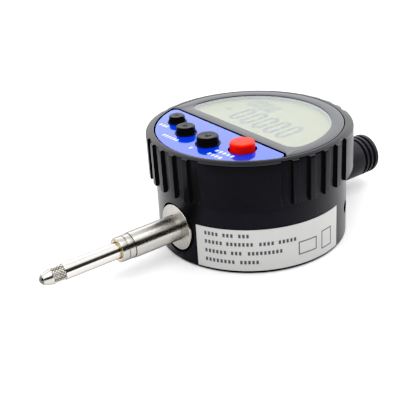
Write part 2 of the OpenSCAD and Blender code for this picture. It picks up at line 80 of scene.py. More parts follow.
# The grip's floors lie across the X axis, so the box ends at the corner of the rib beside one
BEZEL_R = box_mm("bezel")[1].x / math.cos(math.radians(GRIP_FLOOR_HALF))
BEZEL_LOW = box_mm("bezel")[0].z
FACE_Z = box_mm("bezel")[1].z
PLATE_LOW = box_mm("face_plate")[0].z
PLATE_R = box_mm("face_plate")[1].x
PANEL_TOP = box_mm("button_panel")[1].z
LABEL_R = HOUSING_R + 0.1
WINDOW_R = box_mm("lcd_lens")[1].y + 0.05
WINDOW_Y = box_mm("lcd_lens")[0].y - 0.05
WINDOW_CORNER = 4.0
STEM_END = box_mm("stem")[0].y
STEM_BACK = box_mm("stem")[1].y
SPINDLE_FRONT = box_mm("spindle")[0].y
CAP_FRONT = box_mm("spindle_cap")[0].y
CAP_END = box_mm("spindle_cap")[1].y
CAP_R = box_mm("spindle_cap")[1].x


# ---- mesh helpers ----

def make_piece(name, verts, faces, body, material, replaces=(), sharp=30):
    """A closed mesh from points in millimetres.

    Its normals point outward, and edges over sharp degrees stay crisp.
    """
    mesh = bpy.data.meshes.new(name)
    bm = bmesh.new()
    points = [bm.verts.new([c * MM for c in v]) for v in verts]
    for face in faces:
        if len(set(face)) > 2:
            bm.faces.new([points[i] for i in face])
    bmesh.ops.remove_doubles(bm, verts=bm.verts, dist=1e-7)
    bmesh.ops.dissolve_degenerate(bm, edges=bm.edges, dist=1e-8)
    bmesh.ops.recalc_face_normals(bm, faces=bm.faces)
    bm.to_mesh(mesh)
    bm.free()
    mesh.polygons.foreach_set("use_smooth", [True] * len(mesh.polygons))
    mesh.set_sharp_from_angle(angle=math.radians(sharp))
    obj = bpy.data.objects.new(name, mesh)
    bpy.context.scene.collection.objects.link(obj)
    obj.data.materials.append(material)
    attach(obj, body)
    if replaces:
        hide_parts(*replaces)
    return obj


def rounded(corners, steps=4):
    """A closed outline from corners (x, y, fillet radius)."""
    out = []
    count = len(corners)
    for i, (x, y, fillet) in enumerate(corners):
        here = Vector((x, y))
        if fillet <= 0:
            out.append((x, y))
            continue
        before = Vector(corners[i - 1][:2]) - here
        after = Vector(corners[(i + 1) % count][:2]) - here
        half = before.angle(after) / 2
        reach = min(fillet / math.tan(half), before.length * 0.49, after.length * 0.49)
        start, end = here + before.normalized() * reach, here + after.normalized() * reach
        for k in range(steps + 1):
            t = k / steps
            p = start * (1 - t) ** 2 + here * 2 * t * (1 - t) + end * t ** 2
            out.append((p.x, p.y))
    return out


def lathe(profile, steps=STEPS, along_y=False, centre=(0, 0)):
    """Points and faces of a profile of (radius, height) turned about Z, or about the spindle's axis."""
    verts, faces = [], []
    count = len(profile)
    for s in range(steps):
        a = 2 * math.pi * s / steps
        for r, h in profile:
            x, y = r * math.cos(a), r * math.sin(a)
            if along_y:
                verts.append((x, h, AXIS_Z + y))
            else:
                verts.append((centre[0] + x, centre[1] + y, h))
    for s in range(steps):
        t = (s + 1) % steps
        for i in range(count):
            j = (i + 1) % count
            if profile[i][0] < 1e-9 and profile[j][0] < 1e-9:
                continue
            faces.append((s * count + i, s * count + j, t * count + j, t * count + i))
    return verts, faces


def merge(*parts):
    """Several (points, faces) pairs as one."""
    verts, faces = [], []
    for part_verts, part_faces in parts:
        start = len(verts)
        verts += part_verts
        faces += [tuple(i + start for i in face) for face in part_faces]
    return verts, faces


def arc(cx, cy, r, start, end, steps):
    return [
        (cx + r * math.cos(math.radians(start + (end - start) * i / steps)),
         cy + r * math.sin(math.radians(start + (end - start) * i / steps)))
        for i in range(steps + 1)
    ]


def cut_disc(r, chord_y, corner):
    """Outline of a disc cut off below a chord, with its two corners rounded."""
    cy = chord_y + corner
    cx = math.sqrt((r - corner) ** 2 - cy ** 2)
    a = math.degrees(math.atan2(cy, cx))
    return (arc(0, 0, r, a, 180 - a, 120) + arc(-cx, cy, corner, 180 - a, 270, 12)
            + arc(cx, cy, corner, -90, a, 12))


def loops(levels, closed=False):
    """Points and faces of a stack of outlines, each (outline, height), with ends capped or joined."""
    verts, faces = [], []
    count = len(levels[0][0])
    for outline, z in levels:
        verts += [(x, y, z) for x, y in outline]
    last = len(levels) if closed else len(levels) - 1
    for i in range(last):
        a, b = i * count, (i + 1) % len(levels) * count
        for k in range(count):
            m = (k + 1) % count
            faces.append((a + k, a + m, b + m, b + k))
    if not closed:
        faces.append(tuple(range(count))[::-1])
        faces.append(tuple((len(levels) - 1) * count + k for k in range(count)))
    return verts, faces


def slab(outline, low, high):
    return loops([(outline, low), (outline, high)])


def bar(cx, cy, length, width, angle, low, high, corner=None):
    """A flat bar with rounded ends lying on Z, as points and faces."""
    r = width / 2 * 0.98 if corner is None else corner
    half_l, half_w = length / 2, width / 2
    shape = rounded([(-half_l, -half_w, r), (half_l, -half_w, r),
                     (half_l, half_w, r), (-half_l, half_w, r)], 3)
    c, s = math.cos(math.radians(angle)), math.sin(math.radians(angle))
    return slab([(cx + x * c - y * s, cy + x * s + y * c) for x, y in shape], low, high)


# ---- material helpers ----

def new_material(name):
    mat = bpy.data.materials.new(name)
    mat.use_nodes = True
    tree = mat.node_tree
    shader = tree.nodes["Principled BSDF"]
    return mat, tree, shader


def coordinates(tree, scale):
    """Object coordinates times a scale in features per metre, one number or one for each axis."""
    coord = tree.nodes.new("ShaderNodeTexCoord")
    mapping = tree.nodes.new("ShaderNodeMapping")
    mapping.inputs["Scale"].default_value = scale if isinstance(scale, tuple) else (scale,) * 3
    tree.links.new(coord.outputs["Object"], mapping.inputs["Vector"])
    return mapping.outputs["Vector"]


def noise(tree, vector, detail):
    node = tree.nodes.new("ShaderNodeTexNoise")
    node.inputs["Scale"].default_value = 1
    node.inputs["Detail"].default_value = detail
    node.inputs["Roughness"].default_value = 0.55
    tree.links.new(vector, node.inputs["Vector"])
    return node.outputs["Fac"]


def spread(tree, value, low, high, start=0.3, end=0.7):
    """A value between start and end, mapped to low and high."""
    node = tree.nodes.new("ShaderNodeMapRange")
    node.inputs["From Min"].default_value = start
    node.inputs["From Max"].default_value = end
    node.inputs["To Min"].default_value = low
    node.inputs["To Max"].default_value = high
    tree.links.new(value, node.inputs["Value"])
    return node.outputs["Result"]


def blend_colour(tree, factor, first, second):
    node = tree.nodes.new("ShaderNodeMix")
    node.data_type = "RGBA"
    node.inputs[6].default_value = (*first, 1)
    node.inputs[7].default_value = (*second, 1)
    tree.links.new(factor, node.inputs[0])
    return node.outputs[2]


def add_bump(tree, shader, height, depth_mm):
    node = tree.nodes.new("ShaderNodeBump")
    node.inputs["Distance"].default_value = depth_mm * MM
    node.inputs["Strength"].default_value = 1.0
    tree.links.new(height, node.inputs["Height"])
    tree.links.new(node.outputs["Normal"], shader.inputs["Normal"])


def surface(name, colour, rough, metallic=0.0, vary=0.12, patch_mm=9.0, grain_mm=0.25, depth_mm=0.004,
            coat=0.0, rough_spread=0.02, specular=0.5, stretch=None, turned=0.0, edge=1.0, glow=0.0):
    """A moulded, painted or machined surface: patchy colour, uneven polish and a fine grain.

    turned draws reflections out along the spindle's axis, and edge is a metal's share of light at a
    grazing angle.
    """
    mat, tree, shader = new_material(name)
    patches = noise(tree, coordinates(tree, 1000 / patch_mm), 5)
    grain_scale = 1000 / grain_mm
    grain_scale = tuple(grain_scale * s for s in stretch) if stretch else grain_scale
    grain = noise(tree, coordinates(tree, grain_scale), 3)
    darker = tuple(c * (1 - vary) for c in colour)
    lighter = tuple(min(c * (1 + vary), 1) for c in colour)
    tree.links.new(blend_colour(tree, patches, darker, lighter), shader.inputs["Base Color"])
    polish = spread(tree, patches, rough - rough_spread, rough + rough_spread)
    tree.links.new(polish, shader.inputs["Roughness"])
    shader.inputs["Metallic"].default_value = metallic
    shader.inputs["Specular IOR Level"].default_value = specular
    shader.inputs["Coat Weight"].default_value = coat
    shader.inputs["Coat Roughness"].default_value = 0.05
    shader.inputs["Specular Tint"].default_value = (edge, edge, edge, 1)
    shader.inputs["Emission Color"].default_value = (1, 1, 1, 1)
    shader.inputs["Emission Strength"].default_value = glow
    if turned:
        shader.inputs["Anisotropic"].default_value = turned
        shader.inputs["Anisotropic Rotation"].default_value = 0.25
        around = tree.nodes.new("ShaderNodeTangent")
        around.direction_type, around.axis = "RADIAL", "Y"
        tree.links.new(around.outputs[0], shader.inputs["Tangent"])
    add_bump(tree, shader, grain, depth_mm)
    return mat


def glass(name, tint, opacity):
    """Clear plastic: see-through straight on, and reflecting more at a shallow angle."""
    smooth, worn, wear_mm = 0.03, 0.07, 3.0
    mat, tree, shader = new_material(name)
    shader.inputs["Base Color"].default_value = (*tint, 1)
    shader.inputs["Alpha"].default_value = opacity
    wear = noise(tree, coordinates(tree, 1000 / wear_mm), 4)
    tree.links.new(spread(tree, wear, smooth, worn), shader.inputs["Roughness"])
    return mat


# How much a grain is drawn out along each axis, for marks that run round the spindle's axis
AROUND_Y = (0.03, 1, 0.03)

MATS = {
    "housing_black": surface("housing_black", (0.016, 0.016, 0.020), 0.30, vary=0.05, rough_spread=0.015,
                             specular=0.44, grain_mm=0.5, depth_mm=0.002),
    "cover_black": surface("cover_black", (0.016, 0.016, 0.018), 0.45, grain_mm=0.3, depth_mm=0.012),
    "small_steel": surface("small_steel", (0.42, 0.42, 0.43), 0.32, 1, grain_mm=0.15),
    "label_foil": surface("label_foil", (0.56, 0.56, 0.55), 0.30, 0.6, vary=0.03, grain_mm=0.12,
                          depth_mm=0.002),
    "polished_steel": surface("polished_steel", (0.76, 0.74, 0.71), 0.13, 1, vary=0.05, rough_spread=0.04,
                              grain_mm=0.18, depth_mm=0.0012, stretch=AROUND_Y, edge=0.2),
    "bush_brass": surface("bush_brass", (0.84, 0.68, 0.38), 0.24, 1, grain_mm=0.15, depth_mm=0.002,
                          stretch=AROUND_Y),
    "rubber_black": surface("rubber_black", (0.008, 0.008, 0.010), 0.42, specular=0.3, grain_mm=0.2,
                            depth_mm=0.006),
    "collar_steel": surface("collar_steel", (0.55, 0.55, 0.56), 0.3, 1, grain_mm=0.15, stretch=AROUND_Y),
    "cap_black": surface("cap_black", (0.056, 0.056, 0.060), 0.40, specular=0.12, grain_mm=0.35,
                         depth_mm=0.008),
    "cell_steel": surface("cell_steel", (0.70, 0.70, 0.70), 0.3, 1, grain_mm=0.12),
    "inner_plastic": surface("inner_plastic", (0.02, 0.02, 0.022), 0.5, grain_mm=0.3, depth_mm=0.01),
    "contact_strip": surface("contact_strip", (0.75, 0.66, 0.42), 0.28, 1, grain_mm=0.12),
    "board_green": surface("board_green", (0.02, 0.16, 0.06), 0.35, grain_mm=0.4, coat=0.5),
    "machined_aluminium": surface("machined_aluminium", (0.60, 0.60, 0.62), 0.34, 1, grain_mm=0.14,
                                  stretch=(1, 0.05, 1)),
    "spring_steel": surface("spring_steel", (0.50, 0.50, 0.52), 0.25, 1, grain_mm=0.1),
    "ball_dark": surface("ball_dark", (0.20, 0.20, 0.21), 0.1, 1, rough_spread=0.03, depth_mm=0.0005),
    "scale_glass": glass("scale_glass", (0.55, 0.70, 0.62), 0.6),
    "bezel_black": surface("bezel_black", (0.007, 0.007, 0.010), 0.36, vary=0.05, specular=0.47,
                           grain_mm=0.22, depth_mm=0.006),
    "face_grey": surface("face_grey", (0.055, 0.057, 0.068), 0.36, vary=0.06, grain_mm=0.16,
                         depth_mm=0.010, specular=0.6),
    "panel_blue": surface("panel_blue", (0.010, 0.066, 0.53), 0.07, vary=0.03, grain_mm=2.5,
                          depth_mm=0.002, specular=0.45),
    "button_black": surface("button_black", (0.014, 0.014, 0.017), 0.40, specular=0.30, grain_mm=0.16,
                            depth_mm=0.008),
    "button_red": surface("button_red", (0.93, 0.035, 0.010), 0.42, vary=0.05, specular=0.22, grain_mm=0.16,
                          depth_mm=0.008),
    "switch_metal": surface("switch_metal", (0.6, 0.6, 0.58), 0.3, 1, grain_mm=0.12),
    "zebra_rubber": surface("zebra_rubber", (0.10, 0.10, 0.11), 0.6, grain_mm=0.1, stretch=(1, 0.02, 0.02)),
    "lcd_green": surface("lcd_green", (0.30, 0.32, 0.225), 0.5, vary=0.03, patch_mm=4, rough_spread=0.03,
                         grain_mm=0.12, depth_mm=0.003),
    "window_clear": glass("window_clear", (0.90, 0.94, 1.0), 0.10),
    "flex_amber": surface("flex_amber", (0.45, 0.17, 0.02), 0.3, grain_mm=0.4, stretch=(1, 1, 0.02)),
}
SEGMENT = surface("lcd_segment", (0.18, 0.21, 0.20), 0.5, vary=0.03, grain_mm=0.3)
LEGEND = surface("panel_legend", (0.52, 0.57, 0.86), 0.35, vary=0.03, grain_mm=0.2)
LABEL_INK = surface("label_ink", (0.09, 0.09, 0.10), 0.45, vary=0.1, grain_mm=0.15, depth_mm=0.003)
# Painted highlight: the pale colour of the lens's edge ring stands in for light caught in the clear edge
WINDOW_EDGE_PAINTED_HIGHLIGHT = surface("window_edge_painted_highlight", (0.56, 0.59, 0.66), 0.25, vary=0.05, grain_mm=0.4, depth_mm=0.002)
TURNED_STEEL = surface("turned_steel", (0.57, 0.555, 0.525), 0.26, 1, vary=0.05, rough_spread=0.04,
                       grain_mm=0.18, depth_mm=0.001, stretch=AROUND_Y, turned=0.65, edge=0.2)


def dress_frame():
    """Gives each CAD node the material of its own slot."""
    for part in frame["record"]["subparts"]:
        obj = frame["nodes"][part["node"]]
        for i in range(max(1, len(obj.material_slots))):
            if not obj.material_slots:
                obj.data.materials.append(None)
            obj.material_slots[i].link = "OBJECT"
            obj.material_slots[i].material = MATS[part["material_slot"]]


# ---- the bezel's ribbed ring ----

# Four groups of floors, each of them five floors wide, all counted in degrees about Z
GROUP_TURN, GROUP_REACH, RIB_PITCH = 90, 2, 10.05
FLOOR_DEPTH = 0.75
RIB_EDGE_R = 0.2
# Directions, in degrees inside a floor's edge, and the share of the floor's depth reached there:
# first round each rib's edge, then down its steep side
FLANK = [(math.degrees(RIB_EDGE_R * (math.sin(t) - 1) / BEZEL_R),
          RIB_EDGE_R * (1 - math.cos(t)) / FLOOR_DEPTH)
         for t in (0, math.pi / 8, math.pi / 4, math.pi * 3 / 8, math.pi / 2)] + [(0.05, 0.93), (0.12, 1.0)]
FACE_R = PLATE_R + 0.05
SHOULDER_SLOPE = math.radians(20)
SHOULDER_BLEND = 3.6


def floor_share(angle):
    """How far a direction, in degrees, lies in one of the grip's floors, from 0 to 1."""
    from_group = (angle + GROUP_TURN / 2) % GROUP_TURN - GROUP_TURN / 2
    k = max(-GROUP_REACH, min(GROUP_REACH, round(from_group / RIB_PITCH)))
    away = abs(from_group - RIB_PITCH * k)
    inside = GRIP_FLOOR_HALF - away
    if inside <= FLANK[0][0]:
        return 0.0
    for (a, low), (b, high) in zip(FLANK, FLANK[1:]):
        if inside <= b:
            return low + (high - low) * (inside - a) / (b - a)
    return 1.0


def grip_angles():
    """Directions to sample: even steps, and close ones at every flank."""
    angles = {round(i * 1.5, 4) for i in range(240)}
    for group in range(360 // GROUP_TURN):
        for k in range(-GROUP_REACH, GROUP_REACH + 1):
            for side in (-1, 1):
                edge = GROUP_TURN * group + RIB_PITCH * k + side * GRIP_FLOOR_HALF
                for step, _share in FLANK:
                    angles.add(round((edge - side * step) % 360, 4))
    return sorted(angles)


def shoulder_z(r):
    """Height of the bezel's top face and shoulder at a radius."""
    out = r - FACE_R
    blend_out = SHOULDER_BLEND * math.sin(SHOULDER_SLOPE)
    if out <= blend_out:
        return FACE_Z - SHOULDER_BLEND + math.sqrt(SHOULDER_BLEND ** 2 - out ** 2)
    blend_drop = SHOULDER_BLEND * (1 - math.cos(SHOULDER_SLOPE))
    return FACE_Z - blend_drop - (out - blend_out) * math.tan(SHOULDER_SLOPE)


def build_bezel():
    # The rounding under the shoulder, the rounding at the bottom edge, and the seat under the ribs
    r_edge, corner, seat, wall_top = 0.3, 0.14, 1.0, FACE_Z - 3
    angles = grip_angles()
    verts, faces = [], []
    for angle in angles:
        a = math.radians(angle)
        wall = BEZEL_R - FLOOR_DEPTH * floor_share(angle)
        rows = [(FACE_R, BEZEL_LOW), (wall - seat, BEZEL_LOW), (wall - corner, BEZEL_LOW),
                (wall - 0.04, BEZEL_LOW + 0.04), (wall, BEZEL_LOW + corner), (wall, wall_top)]
        # The rounded corner under the shoulder, then the shoulder up to the face
        top = shoulder_z(wall - r_edge)
        start_z = shoulder_z(wall) - r_edge * 0.75
        rows += [(wall - r_edge * (1 - math.cos(t)), start_z + (top - start_z) * math.sin(t))
                 for t in (0.0, 0.4, 0.8, 1.2)]
        inner_r = wall - r_edge
        rows += [(r, shoulder_z(r)) for r in (FACE_R + (inner_r - FACE_R) * k / 8 for k in range(8, 0, -1))]
        rows += [(FACE_R + 0.05, FACE_Z - 0.02), (FACE_R, FACE_Z - 0.1)]
        verts += [(r * math.cos(a), r * math.sin(a), z) for r, z in rows]
    count = len(verts) // len(angles)
    for s in range(len(angles)):
        t = (s + 1) % len(angles)
        for i in range(count):
            j = (i + 1) % count
            faces.append((s * count + i, s * count + j, t * count + j, t * count + i))
    make_piece("bezel_ring", verts, faces, "display_head", MATS["bezel_black"], ["bezel"])


# ---- face plate, window and display ----

PANEL_ROOM_R, PANEL_ROOM_CORNER = PLATE_R + 0.25, 2.2
PLATE_TIP_Y = box_mm("face_plate")[0].y
PLATE_CHORD = PLATE_TIP_Y + 1.3


def plate_outline(inset):
    """The face plate: a disc cut off along the panel, with two tips that follow the panel's corners."""
    r, tip = PLATE_R - inset, PLATE_TIP_Y + inset / 2
    corner = PANEL_ROOM_CORNER + inset
    cy = PLATE_CHORD - PANEL_ROOM_CORNER
    cx = math.sqrt((PANEL_ROOM_R - PANEL_ROOM_CORNER) ** 2 - cy ** 2)
    a = math.degrees(math.asin(tip / r))
    b = math.degrees(math.asin((tip - cy) / corner))
    return (arc(0, 0, r, a, 180 - a, 120) + arc(-cx, cy, corner, 180 - b, 90, 12)
            + arc(cx, cy, corner, 90, b, 12))


def build_face_plate():
    seam = 0.15
    levels = [(plate_outline(seam), PLATE_LOW), (plate_outline(seam), FACE_Z - 0.12),
              (plate_outline(seam + 0.04), FACE_Z - 0.03), (plate_outline(seam + 0.12), FACE_Z)]
    edge = 0.16
    levels += [(cut_disc(WINDOW_R + edge, WINDOW_Y - edge, WINDOW_CORNER + edge), FACE_Z),
               (cut_disc(WINDOW_R + 0.04, WINDOW_Y - 0.04, WINDOW_CORNER + 0.04), FACE_Z - 0.05),
               (cut_disc(WINDOW_R, WINDOW_Y, WINDOW_CORNER), FACE_Z - 0.18),
               (cut_disc(WINDOW_R, WINDOW_Y, WINDOW_CORNER), PLATE_LOW)]
    verts, faces = loops(levels, closed=True)
    make_piece("face_plate_shell", verts, faces, "display_head", MATS["face_grey"],
               ["face_plate"])


LCD_TOP = PLATE_LOW + 0.4


def window_outline(inset):
    return cut_disc(WINDOW_R - inset, WINDOW_Y + inset, WINDOW_CORNER - inset)


def build_window():
    top = box_mm("lcd_lens")[1].z
    verts, faces = loops([(window_outline(0.05), top - 0.12), (window_outline(0.05), top - 0.05),
                          (window_outline(0.1), top)])
    make_piece("window_lens", verts, faces, "display_head", MATS["window_clear"],
               ["lcd_lens"])
    # The lens's polished edge below the plate, coloured as a pale band: a painted highlight for the light
    # caught in its clear edge
    verts, faces = loops([(window_outline(0.03), LCD_TOP), (window_outline(0.03), top - 0.14),
                          (window_outline(0.2), top - 0.14), (window_outline(0.2), LCD_TOP)], closed=True)
    make_piece("window_edge_painted_highlight", verts, faces, "display_head", WINDOW_EDGE_PAINTED_HIGHLIGHT)
    low = box_mm("lcd_module")[0].z
    verts, faces = slab(window_outline(0.02), low, LCD_TOP)
    make_piece("lcd_panel", verts, faces, "display_head", MATS["lcd_green"], ["lcd_module"])


SEGMENTS = {"0": "abcdef", "-": "g"}


def digit(mark, x, y, width, height, stroke):
    """Seven-segment strokes of one digit, whose lower left corner is at x, y."""
    half = height / 2
    gap = stroke * 0.62
    places = {
        "a": (width / 2, height, width - 2 * gap, 0), "d": (width / 2, 0, width - 2 * gap, 0),
        "g": (width / 2, half, width - 2 * gap, 0), "b": (width, half * 1.5, half - 2 * gap, 90),
        "c": (width, half * 0.5, half - 2 * gap, 90), "f": (0, half * 1.5, half - 2 * gap, 90),
        "e": (0, half * 0.5, half - 2 * gap, 90),
    }
    return [bar(x + places[s][0], y + places[s][1], places[s][2] + stroke * 0.7, stroke, places[s][3],
                LCD_TOP - 0.01, LCD_TOP + 0.03) for s in SEGMENTS[mark]]


def build_display_marks():
    """A sign and a row of large digits, and a row of small ones above them."""
    low_y, tall, stroke = 0.6, 9.4, 1.25
    parts = []
    for i in range(5):
        parts += digit("0", -10.9 + i * 5.57, low_y, 2.9, tall, stroke)
    parts += digit("-", -18.4, low_y, 3.4, tall, stroke)
    for i in range(4):
        parts += digit("0", -15.6 + i * 3.1, 12.2, 1.9, 5.2, 0.8)
    verts, faces = merge(*parts)
    make_piece("lcd_digits", verts, faces, "display_head", SEGMENT)


# ---- buttons ----

BUTTON_NODES = ["button_left", "button_middle", "button_right", "button_red"]


def button_place(node):
    """A button's centre, top, bottom, foot radius and body radius."""
    low, high = box_mm(node)
    centre = (low + high) / 2
    flange = 0.93 if node == "button_red" else 0.7
    wide = (high.x - low.x) / 2
    return centre.x, centre.y, high.z, low.z, wide, wide - flange


def build_buttons():
    foot = 0.9
    # Moulded strokes on each button's top: centre, length and angle
    marks = {
        "button_left": [(0, 0.35, 1.9, 0), (0, -0.55, 1.1, 0)],
        "button_middle": [(-0.62, 0, 1.7, 62), (0.62, 0, 1.7, 118), (0, -0.72, 1.7, 0)],
        "button_right": [(0.5, 0, 2.3, 90), (-0.55, 0, 1.2, 0)],
        "button_red": [],
    }
    for node in BUTTON_NODES:
        x, y, top, low, wide, r = button_place(node)
        shape = [(0, low, 0), (wide, low, 0.1), (wide, low + foot, 0.1), (r, low + foot, 0)]
        if node == "button_red":
            shape += [(r, top - 0.02, 0.75), (0, top, 0)]
        else:
            shape += [(r, PANEL_TOP + 0.8, 0.2), (r - 0.06, top, 0.62), (r - 1.2, top - 0.08, 0.3),
                      (0, top - 0.2, 0)]
        parts = [lathe(rounded(shape, 6), 96, centre=(x, y))]
        for mx, my, length, angle in marks[node]:
            parts.append(bar(x + mx, y + my, length, 0.34, angle, top - 0.5, top - 0.06))
        verts, faces = merge(*parts)
        slot = "button_red" if node == "button_red" else "button_black"
        make_piece(node + "_cap", verts, faces, node, MATS[slot], [node])


def build_boots():
    parts = []
    for node in BUTTON_NODES[:3]:
        x, y, _top, _low, _wide, r = button_place(node)
        inner, hole, skirt = r + 0.06, r + 0.33, r + 0.53
        shape = [(inner, PLATE_LOW, 0), (hole, PLATE_LOW, 0), (hole, PANEL_TOP + 0.01, 0),
                 (skirt, PANEL_TOP + 0.01, 0.05), (skirt, PANEL_TOP + 0.16, 0.08),
                 (r + 0.26, PANEL_TOP + 0.32, 0.1), (r + 0.2, PANEL_TOP + 0.48, 0.05),
                 (inner, PANEL_TOP + 0.48, 0.02)]
        parts.append(lathe(rounded(shape, 4), 96, centre=(x, y)))
    verts, faces = merge(*parts)
    make_piece("button_boot_set", verts, faces, "display_head", MATS["rubber_black"],
               ["button_boots"])


def build_legends():
    """Plain light blocks where the letters of the words beside the buttons stand."""
    low, high, letter_height, letter_share, corner = PANEL_TOP - 0.02, PANEL_TOP + 0.02, 1.4, 0.66, 0.25
    # Where a row's middle is, how many blocks it has, how far apart they are, and its tilt
    rows = [(-17.6, -20.0, 3, 1.45, 4), (-7.8, -24.3, 6, 1.28, 2), (3.2, -24.6, 1, 1.5, 0),
            (13.6, -20.2, 5, 1.6, 4), (12.8, -23.2, 4, 1.55, 4)]
    parts = []
    for x, y, count, pitch, tilt in rows:
        for i in range(count):
            along = (i - (count - 1) / 2) * pitch
            lift = along * math.tan(math.radians(tilt))
            parts.append(bar(x + along, y + lift, pitch * letter_share, letter_height, tilt, low, high,
                             corner))
    verts, faces = merge(*parts)
    make_piece("panel_legends", verts, faces, "display_head", LEGEND)


# ---- label ----

def curved_bar(start, end, low, high):
    """A thin patch on the label between two directions, counted in degrees from -Y towards +X."""
    sunk, out, cell_turn = 0.02, 0.012, 1.5
    cells = max(2, int((end - start) / cell_turn))
    verts, faces = [], []
    for i in range(cells + 1):
        a = math.radians(start + (end - start) * i / cells - 90)
        for r in (LABEL_R - sunk, LABEL_R + out):
            for z in (low, high):
                verts.append((r * math.cos(a), r * math.sin(a), z))
    for i in range(cells):
        b, n = 4 * i, 4 * i + 4
        faces += [(b + one, b + two, n + two, n + one) for one, two in ((0, 1), (2, 3), (0, 2), (1, 3))]
    faces += [(0, 1, 3, 2), (4 * cells, 4 * cells + 1, 4 * cells + 3, 4 * cells + 2)]
    return verts, faces


def build_label_marks():
    """Plain blocks where the label's letters stand, and two blank outlines where its marks stand."""
    parts = []
    # The height of each row of words, then where each word starts, in degrees, and its number of blocks
    rows = [(12.7, [(23, 4), (34, 3), (43, 3)]), (9.9, [(23, 5), (36, 7), (54.5, 4), (65.5, 5)]),
            (6.9, [(23, 6), (38.5, 3), (48, 9)]), (3.9, [(23, 8), (43.5, 5)])]
    pitch, width, half_height = 2.27, 1.35, 0.6
    for z, words in rows:
        for start, count in words:
            for i in range(count):
                left = start + pitch * i
                parts.append(curved_bar(left, left + width, z - half_height, z + half_height))
    # How wide an outline's strokes are, up the label and, in degrees, along it
    w, w_turn = 0.35, 0.66
    for start, end, low, high in ((77.5, 90, 4.2, 8.6), (94, 102.5, 3.2, 9.4)):
        parts += [curved_bar(start, end, low, low + w), curved_bar(start, end, high - w, high),
                  curved_bar(start, start + w_turn, low + w, high - w),
                  curved_bar(end - w_turn, end, low + w, high - w)]
    verts, faces = merge(*parts)
    make_piece("label_bars", verts, faces, "housing", LABEL_INK)


# ---- stem, contact point and cap ----

STEM_R, STEM_RING_R, STEM_GROOVE_R, STEM_SHANK_R = 4.0, 3.8, 3.5, 4.5
FLANGE_Y, FLANGE_BACK = -30.05, -27.5
FLANGE_R = box_mm("stem")[1].x


def build_stem():
    e, bore = STEM_END, 3.07
    shape = [(bore, e, 0.05), (STEM_RING_R, e, 0.28), (STEM_RING_R, e + 2.2, 0.12),
             (STEM_GROOVE_R, e + 2.23, 0.03), (STEM_GROOVE_R, e + 2.42, 0.03),
             (STEM_RING_R, e + 2.45, 0.12), (STEM_RING_R, e + 4.35, 0.12),
             (STEM_GROOVE_R, e + 4.38, 0.02), (STEM_GROOVE_R, e + 4.52, 0.02),
             (STEM_R, e + 4.55, 0.1), (STEM_R, FLANGE_Y, 0.06), (FLANGE_R, FLANGE_Y, 0.2),
             (FLANGE_R, FLANGE_BACK, 0.1), (STEM_SHANK_R, FLANGE_BACK, 0), (STEM_SHANK_R, STEM_BACK, 0),
             (bore, STEM_BACK, 0)]
    verts, faces = lathe(rounded(shape, 5), along_y=True)
    make_piece("stem_turned", verts, faces, "housing", TURNED_STEEL, ["stem"])


KNURL_R, KNURL_LENGTH, CONE_LENGTH, SEAT_R = 2.45, 3.9, 6.6, 1.6
KNURL_CELLS, KNURL_DEPTH, KNURL_GROOVE_HALF = 16, 0.26, 0.32
KNURL_END = SPINDLE_FRONT - KNURL_LENGTH
# The first colour is painted shade in the knurl's grooves, the second is the steel's own colour on the
# ridges, and the third is painted shade over the cone
GROOVE_PAINTED_SHADE, RIDGE_COLOUR, CONE_PAINTED_SHADE = (0.07, 0.06, 0.05), (0.82, 0.79, 0.74), (0.60, 0.58, 0.55)


def knurled_metal():
    """Satin metal with painted shade: near black down in its knurl's grooves, which lie nearer to the
    spindle's axis, and darker over the cone towards the tip.
    """
    mat = surface("knurled_steel", (0.80, 0.77, 0.72), 0.24, 1, grain_mm=0.2, depth_mm=0.001, edge=0.2)
    tree = mat.node_tree
    shader = next(node for node in tree.nodes if node.type == "BSDF_PRINCIPLED")
    coord = tree.nodes.new("ShaderNodeTexCoord")
    across = tree.nodes.new("ShaderNodeVectorMath")
    across.operation = "MULTIPLY_ADD"
    tree.links.new(coord.outputs["Object"], across.inputs[0])
    across.inputs[1].default_value = (1, 0, 1)
    across.inputs[2].default_value = (0, 0, -AXIS_Z * MM)
    radius = tree.nodes.new("ShaderNodeVectorMath")
    radius.operation = "LENGTH"
    tree.links.new(across.outputs["Vector"], radius.inputs[0])
    groove_depth, ridge_depth, seam = 0.25, 0.14, 0.05
    ridge = spread(tree, radius.outputs["Value"], 0, 1, (KNURL_R - groove_depth) * MM,
                   (KNURL_R - ridge_depth) * MM)
    split = tree.nodes.new("ShaderNodeSeparateXYZ")
    tree.links.new(coord.outputs["Object"], split.inputs[0])
    cone = spread(tree, split.outputs["Y"], 1, 0, (KNURL_END - seam) * MM, (KNURL_END + seam) * MM)
    # Painted shade: the knurl turns from the steel's colour to near black as its grooves get deeper
    knurl = blend_colour(tree, ridge, GROOVE_PAINTED_SHADE, RIDGE_COLOUR)
    # Painted shade: the cone in front of the knurl takes a darker colour than the ridges
    colour = blend_colour(tree, cone, GROOVE_PAINTED_SHADE, CONE_PAINTED_SHADE)
    tree.links.new(knurl, colour.node.inputs[6])
    tree.links.new(colour, shader.inputs["Base Color"])
    return mat


def knurl_depth(turn, run):
    """Depth of the diamond knurl, 0 to 1: two families of grooves crossing at an angle."""
    pitch = 2 * math.pi * KNURL_R / KNURL_CELLS
    deep = 0.0
    for way in (1, -1):
        phase = (turn * KNURL_CELLS + way * run / pitch) % 1
        deep = max(deep, 1 - min(abs(phase - 0.5) / KNURL_GROOVE_HALF, 1))
    return deep


